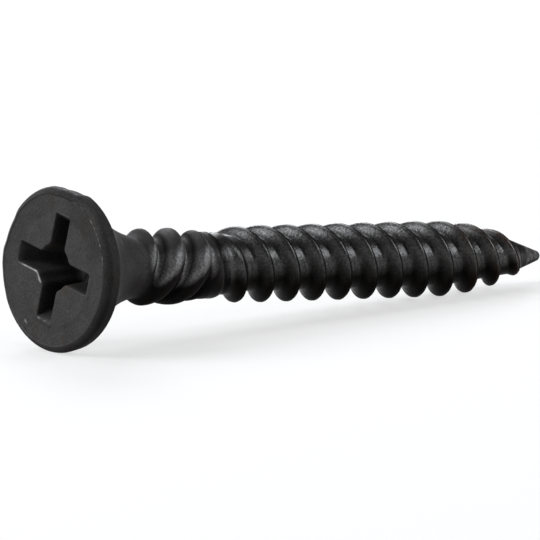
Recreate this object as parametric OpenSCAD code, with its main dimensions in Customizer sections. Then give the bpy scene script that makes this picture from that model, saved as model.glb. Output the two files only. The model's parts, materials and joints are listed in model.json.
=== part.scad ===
// Drywall screw, one cold-forged and thread-rolled piece, lying as it comes to rest.
// It is drawn upright first: the driving face at z = 0 and the point at z = screw_len.

/* [Overall] */
// Length from the driving face to the point
screw_len = 31.75; // [28:0.05:45]

/* [Head] */
// Largest diameter of the head
head_d = 8.08; // [7.2:0.02:9]
// Radius of the rounded edge between the face and the rim
edge_r = 0.36; // [0.05:0.01:0.45]
// Height of the rim, from the face to the cone under it
rim_h = 0.9; // [0.6:0.01:1.1]
// How much smaller in radius the rim is where it meets the cone
rim_taper = 0.1; // [0:0.01:0.15]
// Included angle of the cone under the rim
head_angle = 94; // [80:1:100]
// Radius of the sweep from the cone into the neck
sweep_r = 6; // [3.5:0.1:6.5]
// Slope that the sweep still has where it meets the neck
neck_slope = 9.6; // [4:0.1:12]
// Diameter of the neck, where the left-hand thread begins
neck_d = 3; // [2.8:0.02:3.4]

/* [Cross recess] */
// Distance across two opposite wings at the face
recess_span = 5.2; // [4.2:0.05:5.8]
// Width of a wing at the face
wing_w = 1.02; // [0.8:0.01:1.3]
// Depth of the wings
recess_depth = 2.3; // [1.5:0.05:2.8]
// Slope of the outer end of a wing, from the screw's axis
wing_slope = 26.5; // [20:0.5:30]
// Draft of the side of a wing, from the screw's axis
wing_draft = 4; // [1:0.5:6]
// Diameter of the round core of the recess at the face
core_d = 2.3; // [1.9:0.05:2.8]
// Slope of the core's wall, from the screw's axis
core_slope = 8; // [4:0.5:12]
// Depth of the conical bottom below the wings
bottom_h = 0.25; // [0.1:0.01:0.4]
// Turn of the wings about the screw's axis
recess_turn = 11; // [0:1:89]

/* [Shank] */
// Diameter of the bare ring between the two threads
shank_d = 3.28; // [2.9:0.02:3.5]

/* [Counter thread] */
// Outer diameter of the left-hand thread under the head
counter_d = 3.74; // [3.6:0.02:4.2]
// Root diameter of the left-hand thread
counter_root_d = 2.65; // [2.3:0.05:3]
// Distance between neighbouring crests, half the lead of its two starts
counter_pitch = 1.78; // [1.7:0.001:2]
// Width of the land on its broad, rounded crest
counter_crest_w = 0.28; // [0.1:0.01:0.4]
// Width of its flank that faces the head
counter_head_flank_w = 0.68; // [0.4:0.01:0.7]
// Width of its flank that faces the point
counter_point_flank_w = 0.56; // [0.3:0.01:0.6]
// Length of the left-hand thread, from the neck to the bare ring
counter_len = 4.38; // [3.5:0.01:7]
// Length over which it rises out of the neck
counter_run_in = 0.78; // [0.5:0.01:1.2]
// Length over which it fades into the bare ring
counter_run_out = 0.75; // [0.5:0.01:2]
// Turn of the left-hand thread about the screw's axis
counter_turn = 42.5; // [0:0.5:179.5]

/* [Main thread] */
// Outer diameter of the right-hand thread
thread_d = 3.8; // [3.6:0.02:4.2]
// Root diameter of the right-hand thread
root_d = 2.64; // [2.2:0.02:2.9]
// Distance between neighbouring crests, half the lead of its two starts
crest_pitch = 1.682; // [1.4:0.001:2]
// Width of the narrow land on its crest
crest_w = 0.24; // [0.08:0.01:0.3]
// Width of the flank that faces the head
head_flank_w = 0.45; // [0.4:0.01:0.65]
// Width of the flank that faces the point
point_flank_w = 0.44; // [0.3:0.01:0.5]
// Length over which it rises out of the bare ring
run_in = 3; // [1:0.05:3.5]
// Turn of the right-hand thread about the screw's axis
main_turn = 119.5; // [0:0.5:179.5]

/* [Point] */
// Length over which the crests fall to the point
taper_len = 7.8; // [5:0.1:10]
// Length over which the core narrows ahead of the point
core_taper_len = 4.4; // [2:0.1:5]
// Length of the bare conical point
point_len = 2.1; // [1.6:0.05:3]
// Included angle of the point
point_angle = 37; // [30:1:46]
// Length of bare cone ahead of the last crest
bare_len = 1.65; // [0.8:0.05:2]
// Length over which the last crest fades out
fade_len = 0.45; // [0.3:0.05:1]
// Radius of the blunt end of the point
tip_r = 0.1; // [0.05:0.01:0.15]
// Height of the blunt end of the point
tip_h = 0.06; // [0.03:0.01:0.1]

/* [Hidden] */

steel = [0.17, 0.17, 0.18];
arc_steps = 12;
columns = 36;
starts = 2;
overlap = 0.3;
neck_sink = 0.03;
head_r = head_d / 2;
neck_r = neck_d / 2;
shank_r = shank_d / 2;
half_angle = head_angle / 2;

// The straight cone takes up what the sweep leaves between the rim and the neck
cone_run = head_r - rim_taper - neck_r - sweep_r * (cos(neck_slope) - cos(half_angle));
cone_h = cone_run / tan(half_angle);
sweep_z = rim_h + cone_h + sweep_r * sin(half_angle);
sweep_y = neck_r + sweep_r * cos(neck_slope);

// Stations of the threads
neck_z = sweep_z - sweep_r * sin(neck_slope);
root_z = neck_z - overlap;
join_z = neck_z + counter_len;
tip_z = screw_len - tip_h;

function clamp(x) = min(1, max(0, x));
function ease(x) = clamp(x) * clamp(x) * (3 - 2 * clamp(x));
function mix(a, b, t) = a + (b - a) * t;

// A tooth is a list of [offset, share], and the share is 1 on its crest and 0 on its root
function tooth(pitch, crest, head_flank, point_flank, head_steps, point_steps) = concat(
    [[0, 1]],
    [for (k = [0 : point_steps]) [crest + point_flank * k / point_steps, 1 - ease(k / point_steps)]],
    [for (k = [0 : head_steps - 1]) [pitch - head_flank * (1 - k / head_steps), ease(k / head_steps)]]
);
counter_tooth = tooth(counter_pitch, counter_crest_w, counter_head_flank_w, counter_point_flank_w, 3, 3);
main_tooth = tooth(crest_pitch, crest_w, head_flank_w, point_flank_w, 3, 2);

// Envelopes of the core and of the crests along the screw
function point_r(z) = tip_r + (tip_z - z) * tan(point_angle / 2);
function tapered_core_r(z) =
    mix(root_d / 2, point_r(screw_len - point_len), clamp((z - screw_len + point_len + core_taper_len) / core_taper_len));
function main_core_r(z) =
    min(mix(shank_r, tapered_core_r(z), ease((z - join_z) / run_in)), max(tip_r, point_r(z)));
function crest_drop(z) = pow(max(0, z - screw_len + taper_len) / taper_len, 2.3);
function crest_r(z) = thread_d / 2 * (1 - crest_drop(z));
function main_height(z) =
    ease((z - join_z) / run_in) * ease((screw_len - bare_len - z) / fade_len) * max(0, crest_r(z) - main_core_r(z));
function counter_ease(z) = ease((z - neck_z) / counter_run_in) * ease((join_z - z) / counter_run_out);
function counter_end_r(z) = z < (neck_z + join_z) / 2 ? neck_r - neck_sink : shank_r;
function counter_core_r(z) = z < neck_z ? counter_root_d / 2 : mix(counter_end_r(z), counter_root_d / 2, counter_ease(z));
function counter_height(z) = counter_ease(z) * (counter_d - counter_root_d) / 2;

// A strip of thread is a grid whose rows follow the helix and whose ends are clipped to flat rings.
// A strip is [tooth, pitch, hand, phase, low end, high end], with hand 1 for right and -1 for left.
main_strip = [main_tooth, crest_pitch, 1, join_z - main_turn / 360 * starts * crest_pitch, join_z, tip_z];
counter_strip = [
    counter_tooth, counter_pitch, -1, neck_z + counter_turn / 360 * starts * counter_pitch, root_z, join_z
];
snap = 0.04;
function strip_turns(s) = starts * len(s[0]);
function first_row(s) = floor((s[4] - s[3]) / s[1] - starts - 1) * len(s[0]);
function row_count(s) = ceil((s[5] - s[4]) / s[1] + 2 * starts + 2) * len(s[0]);
function row_z(s, row) =
    let (rows = len(s[0]), turn = floor(row / rows))
    s[3] + turn * s[1] + s[0][row - turn * rows][0];
function raw_z(s, row, column) = row_z(s, row) + s[2] * starts * s[1] * column / columns;
function point_z(s, row, column) = min(s[5], max(s[4], raw_z(s, row, column)));
function tooth_share(s, row) = s[0][row - floor(row / len(s[0])) * len(s[0])][1];
function surface_r(s, z, share) =
    s[2] > 0
        ? max(tip_r, main_core_r(z) + share * main_height(z))
        : counter_core_r(z) + share * counter_height(z);
function on_ring(r, z, column) = [r * cos(360 * column / columns), r * sin(360 * column / columns), z];
function ring_r(s, z) = surface_r(s, z, 0);
function strip_points(s) = [
    for (i = [0 : row_count(s) - 1], column = [0 : columns - 1])
        let (row = first_row(s) + i, z = point_z(s, row, column))
        on_ring(surface_r(s, z, tooth_share(s, row)), z, column)
];

// Index of a grid point, or of its ring point where the grid is clipped
function strip_index(s, base, low_ring, high_ring, i, column) =
    let (
        wrap = column == columns,
        row = first_row(s) + i + (wrap ? s[2] * strip_turns(s) : 0),
        c = wrap ? 0 : column,
        z = raw_z(s, row, c)
    )
    z < s[4] + snap ? low_ring + c
        : z > s[5] - snap ? high_ring + c
        : base + (row - first_row(s)) * columns + c;
function distinct(t) = t[0] != t[1] && t[1] != t[2] && t[2] != t[0];
function strip_faces(s, base, low_ring, high_ring) = [
    for (i = [0 : row_count(s) - 2], column = [0 : columns - 1])
        let (
            a = strip_index(s, base, low_ring, high_ring, i, column),
            b = strip_index(s, base, low_ring, high_ring, i, column + 1),
            c = strip_index(s, base, low_ring, high_ring, i + 1, column + 1),
            d = strip_index(s, base, low_ring, high_ring, i + 1, column)
        )
        for (t = [[a, c, b], [a, d, c]]) if (distinct(t)) t
];
function ring_points(r, z) = [for (column = [0 : columns - 1]) on_ring(r, z, column)];

// The lying pose: the rim and one crest touch the floor
crest_stations = [
    for (k = [0 : 40], side = [0, crest_w])
        let (z = main_strip[3] + k * crest_pitch + side)
        if (z > join_z + run_in && z < screw_len - bare_len - fade_len) z
];
function lean_on(z) = max([for (p = rim_profile()) atan((p[0] - crest_r(z)) / (z - p[1]))]);
lean = min([for (z = crest_stations) lean_on(z)]);
lift = max([for (p = rim_profile()) p[0] * cos(lean) + p[1] * sin(lean)]);
mid_x = (min([for (p = rim_profile()) p[1] * cos(lean) - p[0] * sin(lean)]) + screw_len * cos(lean)) / 2;

function rim_profile() = concat(
    [[0, 0]],
    [for (k = [0 : arc_steps / 2]) let (a = 180 * k / arc_steps)
        [head_r - edge_r + edge_r * sin(a), edge_r - edge_r * cos(a)]],
    [[head_r - rim_taper, rim_h]]
);
function sweep_profile() = [
    for (k = [0 : arc_steps])
        let (a = mix(half_angle, neck_slope, k / arc_steps))
        [sweep_y - sweep_r * cos(a), sweep_z - sweep_r * sin(a)]
];

module head_and_neck() {
    rotate_extrude($fn = 96)
        polygon(concat(rim_profile(), sweep_profile(), [[0, neck_z]]));
}

module wing(depth = recess_depth, cut = 0.2) {
    half_span = recess_span / 2;
    foot_span = half_span - depth * tan(wing_slope);
    foot_w = wing_w - 2 * depth * tan(wing_draft);
    mouth_span = half_span + cut * tan(wing_slope);
    mouth_w = wing_w + 2 * cut * tan(wing_draft);
    polyhedron(
        points = [
            for (level = [[foot_span, foot_w / 2, depth], [mouth_span, mouth_w / 2, -cut]],
                 side = [[1, 1], [-1, 1], [-1, -1], [1, -1]])
                [side[0] * level[0], side[1] * level[1], level[2]]
        ],
        faces = [
            [3, 2, 1, 0],
            [4, 5, 6, 7],
            [1, 5, 4, 0],
            [2, 6, 5, 1],
            [3, 7, 6, 2],
            [0, 4, 7, 3]
        ]
    );
}

module recess_core(depth = recess_depth, cut = 0.2) {
    wall = tan(core_slope);
    foot_r = core_d / 2 - depth * wall;
    rotate_extrude($fn = 48)
        polygon([
            [0, -cut],
            [core_d / 2 + cut * wall, -cut],
            [foot_r, depth],
            [0, depth + bottom_h]
        ]);
}

module cross_recess() {
    rotate([0, 0, recess_turn]) {
        wing();
        rotate([0, 0, 90]) wing();
        recess_core();
    }
}

module threaded_shank() {
    counter_rows = row_count(counter_strip) * columns;
    main_rows = row_count(main_strip) * columns;
    low_ring = 0;
    join_ring = columns;
    high_ring = 2 * columns;
    apex = 3 * columns;
    counter_base = apex + 1;
    main_base = counter_base + counter_rows;
    polyhedron(
        points = concat(
            ring_points(ring_r(counter_strip, root_z), root_z),
            ring_points(ring_r(counter_strip, join_z), join_z),
            ring_points(ring_r(main_strip, tip_z), tip_z),
            [[0, 0, screw_len]],
            strip_points(counter_strip),
            strip_points(main_strip)
        ),
        faces = concat(
            [[for (column = [0 : columns - 1]) low_ring + column]],
            strip_faces(counter_strip, counter_base, low_ring, join_ring),
            strip_faces(main_strip, main_base, join_ring, high_ring),
            [for (column = [0 : columns - 1]) [high_ring + column, apex, high_ring + (column + 1) % columns]]
        )
    );
}

module lay_down() {
    translate([-mid_x, 0, lift]) rotate([0, 90 + lean, 0]) children();
}

module screw() {
    color(steel) lay_down() {
        difference() {
            head_and_neck();
            cross_recess();
        }
        threaded_shank();
    }
}

screw();
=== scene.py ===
"""Drywall screw: one cold-forged, thread-rolled and phosphated piece of steel, lying on its side."""
import json
import math

import bmesh
import bpy
import numpy as np
from bpy.props import FloatProperty, FloatVectorProperty, IntProperty, PointerProperty
from bpy.types import Operator, Panel, PropertyGroup
from mathutils import Matrix, Vector


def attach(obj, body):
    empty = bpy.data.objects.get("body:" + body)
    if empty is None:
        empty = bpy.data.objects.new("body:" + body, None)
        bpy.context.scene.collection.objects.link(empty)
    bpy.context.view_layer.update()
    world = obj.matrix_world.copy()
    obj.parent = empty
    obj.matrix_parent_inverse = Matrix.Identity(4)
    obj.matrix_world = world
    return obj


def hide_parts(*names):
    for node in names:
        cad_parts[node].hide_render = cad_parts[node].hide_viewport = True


bl_info = {
    "name": "Drywall Screw",
    "version": (1, 0, 0),
    "blender": (4, 5, 0),
    "location": "View3D > Sidebar > Screw",
    "description": "Builds a phosphated drywall screw and a plain studio stage for it",
    "category": "Object",
}

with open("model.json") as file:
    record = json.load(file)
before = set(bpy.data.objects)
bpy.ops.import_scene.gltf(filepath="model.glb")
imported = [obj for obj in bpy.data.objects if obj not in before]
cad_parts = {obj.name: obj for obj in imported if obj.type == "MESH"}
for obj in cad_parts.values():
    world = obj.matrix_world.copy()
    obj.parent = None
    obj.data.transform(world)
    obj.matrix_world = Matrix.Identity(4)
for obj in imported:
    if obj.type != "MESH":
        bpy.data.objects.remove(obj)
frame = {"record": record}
MM = 0.001
STARTS = 2

# Kinds of node that both trees use, and the settings of an eased ramp and of a mix of colours
MATHS, RAMP, MIX, NOISE = "ShaderNodeMath", "ShaderNodeMapRange", "ShaderNodeMix", "ShaderNodeTexNoise"
EASED = {"interpolation_type": "SMOOTHSTEP"}
COLOURS = {"out": "Result", "data_type": "RGBA"}

# Angles of the rings on the rounded mouth of the recess and on the rounded edge of the face
MOUTH_ANGLES = (60, 30, 0)
EDGE_ANGLES = (25, 32, 40, 48, 56, 64, 72, 80, 90)

# Steps from ring to ring on the other parts of the head and on the point
BOTTOM_STEPS = 5
WALL_STEPS = 8
FACE_STEPS = 26
RIM_STEPS = 5
CORNER_STEPS = 5
CONE_STEPS = 5
SWEEP_STEPS = 18
POINT_STEPS = 12
TIP_STEPS = 5
RIM_RINGS = len(EDGE_ANGLES) + RIM_STEPS + CORNER_STEPS

# Marks on the head: strength (a flat's is its depth in mm), turn of the middle and spread, in degrees
MOUTH_WEAR = ((1.0, 66, 27), (0.6, 86, 17), (0.7, 12, 15))
FACE_MOUTH_WEAR = ((0.6, 66, 27), (0.42, 12, 15))
EDGE_WEAR = ((0.65, 230, 50), (0.8, 230, 50), (0.4, 230, 50))
NICK = (0.9, 34, 4)
NECK_WEAR = (0.74, 226, 16)
KNOCKED_FLATS = ((0.1, 186, 15), (0.09, 114, 17), (0.03, 74, 14))
# Darker patches on the outer face, and painted shade on the rim
FACE_DARK_PATCHES = ((0.24, 226, 40), (0.14, 128, 50))
RIM_PAINTED_SHADE = ((0.35, 172, 55), (0.16, 268, 50))

# What the mesh stores for the coat's material at each point, with the values of a plain forged surface
FORGED_COAT = {
    "rolled": 0.0, "worked": 0.0, "crest": 0.0, "across": 0.0, "crest_edge": 0.2, "groove": 0.0,
    "worn": 0.0, "soot": 0.0, "dust_and_top_light": 0.0,
}

# Bend of a domed crest, bend of the taper to the point, and the share of the crest radius left at its end
DOME_BEND = 1.8
TAPER_BEND = 2.3
TIP_CREST = 0.1

# How closely the rows of a tooth crowd on its crest
ROW_CROWDING = 1.7

# Soft lamps: place, width, height and brightness
SOFTBOXES = {
    "rear left softbox": ((-0.39, 0.15, 0.29), 0.3, 0.3, 7.4),
    "rear right softbox": ((0.21, 0.36, 0.27), 0.24, 0.24, 7.8),
    "overhead softbox": ((0.0, 0.12, 0.48), 0.22, 0.22, 3.6),
    "right softbox": ((0.32, -0.29, 0.25), 0.24, 0.2, 4.9),
}

# Radius and height of the floor, which curls up at its rim
FLOOR_PROFILE = ((0.9, 0), (1.2, 0), (1.35, 0.02), (1.45, 0.08), (1.5, 0.2))


def linear(hex_colour):
    """Linear RGBA of an sRGB hex value."""
    parts = [int(hex_colour[i:i + 2], 16) / 255 for i in (0, 2, 4)]
    return [c / 12.92 if c <= 0.04045 else ((c + 0.055) / 1.055) ** 2.4 for c in parts] + [1.0]


def size(name, description, millimetres):
    """A length property, given in millimetres and kept in metres."""
    return FloatProperty(
        name=name, description=description, default=millimetres * MM, unit="LENGTH", precision=5
    )


def angle(name, description, degrees):
    """An angle property, given in degrees and kept in radians."""
    return FloatProperty(name=name, description=description, default=math.radians(degrees), subtype="ANGLE")


def number(name, description, value, least=0.0, most=1.0):
    """A plain number between two limits."""
    return FloatProperty(name=name, description=description, default=value, min=least, max=most)


def colour(name, description, hex_colour):
    """A colour property, given as an sRGB hex value."""
    return FloatVectorProperty(
        name=name, description=description, default=linear(hex_colour), subtype="COLOR", size=4, min=0, max=1
    )


class HeadSizes(PropertyGroup):
    """Head, cross recess and neck."""

    length: size("Length", "From the driving face to the point", 31.67)
    head_d: size("Head Diameter", "Largest diameter of the head", 8.06)
    edge_r: size("Edge Radius", "Rounded edge between the face and the rim", 0.36)
    rim_h: size("Rim Height", "From the face to the cone under the rim", 0.9)
    rim_taper: size("Rim Taper", "How much smaller in radius the rim is at the cone", 0.1)
    sweep_r: size("Sweep Radius", "Sweep from the cone into the neck", 6.0)
    cone_angle: angle("Cone Angle", "Slope of the cone under the rim, from the axis", 47)
    neck_slope: angle("Neck Slope", "Slope that the sweep still has at the neck", 9.6)
    neck_d: size("Neck Diameter", "Where the left-hand thread begins", 3.0)
    head_tilt: angle("Head Tilt", "How far the forged head is out of square with the shank", 0.95)
    tilt_turn: angle("Tilt Direction", "Turn of the side of the face that stands proud", 145)
    recess_span: size("Recess Span", "Across two opposite wings at the face", 5.26)
    wing_w: size("Wing Width", "Width of a wing at the face", 1.03)
    recess_shift: size("Recess Shift", "How far the punch struck from the middle of the face", 0.095)
    shift_turn: angle("Shift Direction", "Turn of the side towards which the recess is shifted", 183)
    recess_depth: size("Recess Depth", "Depth of the wings", 2.3)
    wing_slope: angle("Wing Slope", "Slope of a wing's outer end, from the axis", 26.5)
    wing_draft: angle("Wing Draft", "Draft of a wing's sides", 4)
    core_d: size("Core Diameter", "Round core of the recess at the face", 2.3)
    core_slope: angle("Core Slope", "Slope of the core's wall", 8)
    bottom_h: size("Bottom Depth", "Conical bottom below the wings", 0.25)
    recess_turn: angle("Recess Turn", "Turn of the wings about the axis", 11.4)


class CounterThreadSizes(PropertyGroup):
    """Short left-hand thread under the head."""

    crest_d: size("Outer Diameter", "Outer diameter of the left-hand thread", 3.74)
    root_d: size("Root Diameter", "Root diameter of the left-hand thread", 2.6)
    pitch: size("Crest Spacing", "Distance between neighbouring crests", 1.78)
    crest_w: size("Crest Width", "Land on the broad crest", 0.16)
    head_flank_w: size("Head Flank Width", "Flank that faces the head", 0.8)
    point_flank_w: size("Point Flank Width", "Flank that faces the point", 0.74)
    roundness: number("Roundness", "From 0 for waved flanks to 1 for a domed crest", 0.85)
    length: size("Length", "From the neck to the bare ring", 4.38)
    run_in: size("Run In", "Length over which it rises out of the neck", 0.66)
    run_out: size("Run Out", "Length over which it fades into the bare ring", 0.75)
    turn: angle("Turn", "Turn of the thread about the axis", 42.5)
    shift: size("Shift", "Shift of the crests along the screw", 0.14)
    seam_offset: size("Seam Offset", "Rolling seam, from the middle of the crest", 0.6)
    seam_w: size("Seam Width", "Half width of the rolling seam", 0.06)
    seam_depth: size("Seam Depth", "Depth of the rolling seam", 0.04)
    seam_jag: size("Seam Jaggedness", "How far the seam strays to either side", 0.1)
    uneven: size("Unevenness", "Waviness that rolling leaves on the thread", 0.07)
    shine: number("Shine", "How glossy rolling has left the thread", 2.8, most=5.0)
    # Dust, and painted light on the top of the thread
    dust_and_top_light: number("Dust And Top Light", "Dust on the upper side", 1.0)
    # A band of painted shade in the root of the thread: its strength, place and spread
    soot_share: number("Painted Root Shade", "Soot in the root", 1.0)
    soot_place: number("Painted Root Shade Place", "From the crest, in crest spacings", -0.36, least=-0.5, most=0.5)
    soot_spread: number("Painted Root Shade Spread", "To either side of its place, in crest spacings", 0.11)


class MainThreadSizes(PropertyGroup):
    """Long right-hand thread and the point."""

    shank_d: size("Bare Ring Diameter", "Between the two threads", 3.28)
    crest_d: size("Outer Diameter", "Outer diameter of the right-hand thread", 3.77)
    root_d: size("Root Diameter", "Root diameter of the right-hand thread", 2.64)
    pitch: size("Crest Spacing", "Distance between neighbouring crests", 1.682)
    crest_w: size("Crest Width", "Narrow land on the crest", 0.1)
    head_flank_w: size("Head Flank Width", "Flank that faces the head", 0.52)
    point_flank_w: size("Point Flank Width", "Flank that faces the point", 0.44)
    roundness: number("Roundness", "From 0 for waved flanks to 1 for a domed crest", 0.0)
    run_in: size("Run In", "Length over which it rises out of the bare ring", 2.7)
    turn: angle("Turn", "Turn of the thread about the axis", 119.5)
    shift: size("Shift", "Shift of the crests along the screw", 0.13)
    taper_len: size("Crest Taper", "Length over which the crests fall to the point", 7.8)
    core_taper_len: size("Core Taper", "Length over which the core narrows", 4.4)
    point_len: size("Point Length", "Length of the conical point", 2.1)
    point_slope: angle("Point Slope", "Slope of the point, from the axis", 17.5)
    bare_len: size("Bare Length", "Bare cone ahead of the last crest", 1.72)
    fade_len: size("Fade Length", "Length over which the last crest fades out", 0.36)
    fade_lean: size("Fade Lean", "How far the fading slants to either side", 0.2)
    fade_turn: angle("Fade Turn", "Turn of the slant about the axis", 172.5)
    tip_r: size("Tip Radius", "Rounded end of the point", 0.27)
    seam_offset: size("Seam Offset", "Rolling seam, from the middle of the crest", 0.08)
    seam_w: size("Seam Width", "Half width of the rolling seam", 0.035)
    seam_depth: size("Seam Depth", "Depth of the rolling seam", 0.06)
    seam_jag: size("Seam Jaggedness", "How far the seam strays to either side", 0.0105)
    uneven: size("Unevenness", "Waviness that rolling leaves on the thread", 0.02)
    shine: number("Shine", "How glossy rolling has left the thread", 1.0, most=5.0)
    # Dust, and painted light on the top of the thread
    dust_and_top_light: number("Dust And Top Light", "Dust on the upper side", 0.0)
    # A band of painted shade in the root of the thread: its strength, place and spread
    soot_share: number("Painted Root Shade", "Soot in the root", 0.4)
    soot_place: number("Painted Root Shade Place", "From the crest, in crest spacings", -0.27, least=-0.5, most=0.5)
    soot_spread: number("Painted Root Shade Spread", "To either side of its place, in crest spacings", 0.1)
    ring_z: size("Groove Place", "Slanting groove between the threads, from the face", 10.2)
    ring_lean: size("Groove Lean", "How far the groove slants to either side", 0.69)
    ring_turn: angle("Groove Turn", "Turn of the groove's slant about the axis", 59)
    ring_w: size("Groove Width", "Half width of the groove", 0.2)
    ring_depth: size("Groove Depth", "Depth of the groove", 0.07)


class MeshSizes(PropertyGroup):
    """Density of the mesh, and the lips beside the rolling seams."""

    columns: IntProperty(name="Columns", description="Points round it, a multiple of 8", default=144, min=48)
    rows: IntProperty(name="Rows", description="Rows across one tooth", default=24, min=8)
    lip_h: size("Lip Height", "Raised lips beside a rolling seam", 0.006)


class FinishLooks(PropertyGroup):
    """Colours of the phosphate coat."""

    forged: colour("Forged Coat", "Matte phosphate on the head and neck", "3f3d3d")
    rolled: colour("Rolled Coat", "Darker, oiled phosphate on the threads", "1e1b19")
    khaki: colour("Khaki Stain", "Thin, stained coat on the head and neck", "3a362c")
    bare: colour("Bare Steel", "Steel where the coat has worn through", "b9b7b2")
    rust: colour("Brown Tint", "Brown tint on the last crests", "4a3428")


class StageSettings(PropertyGroup):
    """Floor, lamps and camera."""

    floor: colour("Floor", "Pale paper floor", "9c9c9c")
    glow: number("Floor Glow", "How bright the camera and reflections see the floor, besides its light", 0.63)
    world: number("World", "Brightness of the even light from all round", 0.04)
    lens: number("Lens", "Focal length in millimetres", 791.82, least=1.0, most=2000.0)
    distance: size("Distance", "From the camera to the aim", 581.95)
    azimuth: angle("Azimuth", "Camera's turn round the screw", -40.9266)
    elevation: angle("Elevation", "Camera's height above the floor, as an angle", 9.7485)
    roll: angle("Roll", "Camera's turn about its own axis", 0.2242)
    aim_x: size("Aim X", "Point at the middle of the picture", -1.2203)
    aim_y: size("Aim Y", "Point at the middle of the picture", 0.685)
    aim_z: size("Aim Z", "Point at the middle of the picture", 2.3595)


def smooth(x):
    """Smooth step from 0 to 1."""
    x = np.clip(x, 0, 1)
    return x * x * (3 - 2 * x)


def turns(columns, s):
    """Angle of every column, the first one on a wing of the recess."""
    return s.recess_turn + 2 * math.pi * np.arange(columns) / columns


def ring(radius, station, angles):
    """A ring of points about the screw's axis."""
    radius = np.broadcast_to(radius, angles.shape)
    station = np.broadcast_to(station, angles.shape)
    return np.stack([radius * np.cos(angles), radius * np.sin(angles), station], 1)


def arc(centre, radius, first, last, count):
    """Points on an arc, without its last one."""
    a = first + (last - first) * np.arange(count) / count
    return np.stack([centre[0] + radius * np.cos(a), centre[1] + radius * np.sin(a)], 1)


def segment(start, end, count):
    """Points on a straight line, without its last one."""
    t = np.arange(count)[:, None] / count
    return np.array(start) * (1 - t) + np.array(end) * t


def cross_outline(reach, half_w, core_r, corner_r, fillet_r, columns):
    """Outline of the cross: wing ends, their corners, wing sides, rounded inner corners and core."""
    n = columns // 8
    counts = [n // 6, n // 6, n // 4, n // 4, n - 2 * (n // 6) - 2 * (n // 4)]
    x_f = math.sqrt((core_r + fillet_r) ** 2 - (half_w + fillet_r) ** 2)
    meet = math.atan2(half_w + fillet_r, x_f)
    octant = np.concatenate([
        segment((reach, 0), (reach, half_w - corner_r), counts[0]),
        arc((reach - corner_r, half_w - corner_r), corner_r, 0, math.pi / 2, counts[1]),
        segment((reach - corner_r, half_w), (x_f, half_w), counts[2]),
        arc((x_f, half_w + fillet_r), fillet_r, 1.5 * math.pi, meet + math.pi, counts[3]),
        arc((0, 0), core_r, meet, math.pi / 4, counts[4]),
        [[core_r * math.sqrt(0.5)] * 2],
    ])
    quadrant = np.concatenate([octant, octant[-2:0:-1, ::-1]])
    sides = []
    for k in range(4):
        c, s = (1, 0, -1, 0)[k], (0, 1, 0, -1)[k]
        sides.append(quadrant @ np.array([[c, s], [-s, c]]))
    return np.concatenate(sides)


def turned(outline, s, station):
    """A flat outline turned with the recess and set at a station."""
    c, t = math.cos(s.recess_turn), math.sin(s.recess_turn)
    flat = outline @ np.array([[c, t], [-t, c]])
    flat = flat + s.recess_shift * np.array([math.cos(s.shift_turn), math.sin(s.shift_turn)])
    return np.column_stack([flat, np.full(len(flat), station)])


def recess_rings(s, columns):
    """Rings from the bottom of the recess up to its rounded mouth."""
    corner_r, fillet_r, mouth_r = 0.08 * MM, 0.3 * MM, 0.07 * MM

    def level(depth, grow=0.0):
        return cross_outline(
            s.recess_span / 2 - depth * math.tan(s.wing_slope) + grow,
            s.wing_w / 2 - depth * math.tan(s.wing_draft) + grow,
            s.core_d / 2 - depth * math.tan(s.core_slope) + grow,
            corner_r,
            fillet_r - grow,
            columns,
        )

    rings = []
    foot = level(s.recess_depth)
    for k in range(1, BOTTOM_STEPS + 1):
        inward = k / BOTTOM_STEPS
        rings.append(turned(foot * inward, s, s.recess_depth + s.bottom_h * (1 - inward)))
    for k in range(WALL_STEPS - 1, -1, -1):
        depth = mouth_r + (s.recess_depth - mouth_r) * k / WALL_STEPS
        rings.append(turned(level(depth), s, depth))
    for a in np.radians(MOUTH_ANGLES):
        depth = mouth_r * (1 - math.cos(a))
        rings.append(turned(level(depth, mouth_r * (1 - math.sin(a))), s, depth))
    return rings


def face_rings(s, mouth, angles):
    """Rings across the face, from the recess to the rounded edge, with the faint step of the heading die."""
    press_x, press_y, press_r = 0.1 * MM, -0.15 * MM, 2.62 * MM
    press_w, press_h = 0.14 * MM, 0.035 * MM
    circle = ring(s.head_d / 2 - s.edge_r, 0, angles)
    shares = [0.02] + [k / FACE_STEPS for k in range(1, FACE_STEPS)] + [0.975, 0.995, 1.0]
    rings = [mouth * (1 - t) + circle * t for t in shares]
    for points in rings:
        away = np.hypot(points[:, 0] - press_x, points[:, 1] - press_y)
        points[:, 2] += press_h * smooth((away - press_r) / press_w)
    return rings


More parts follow.
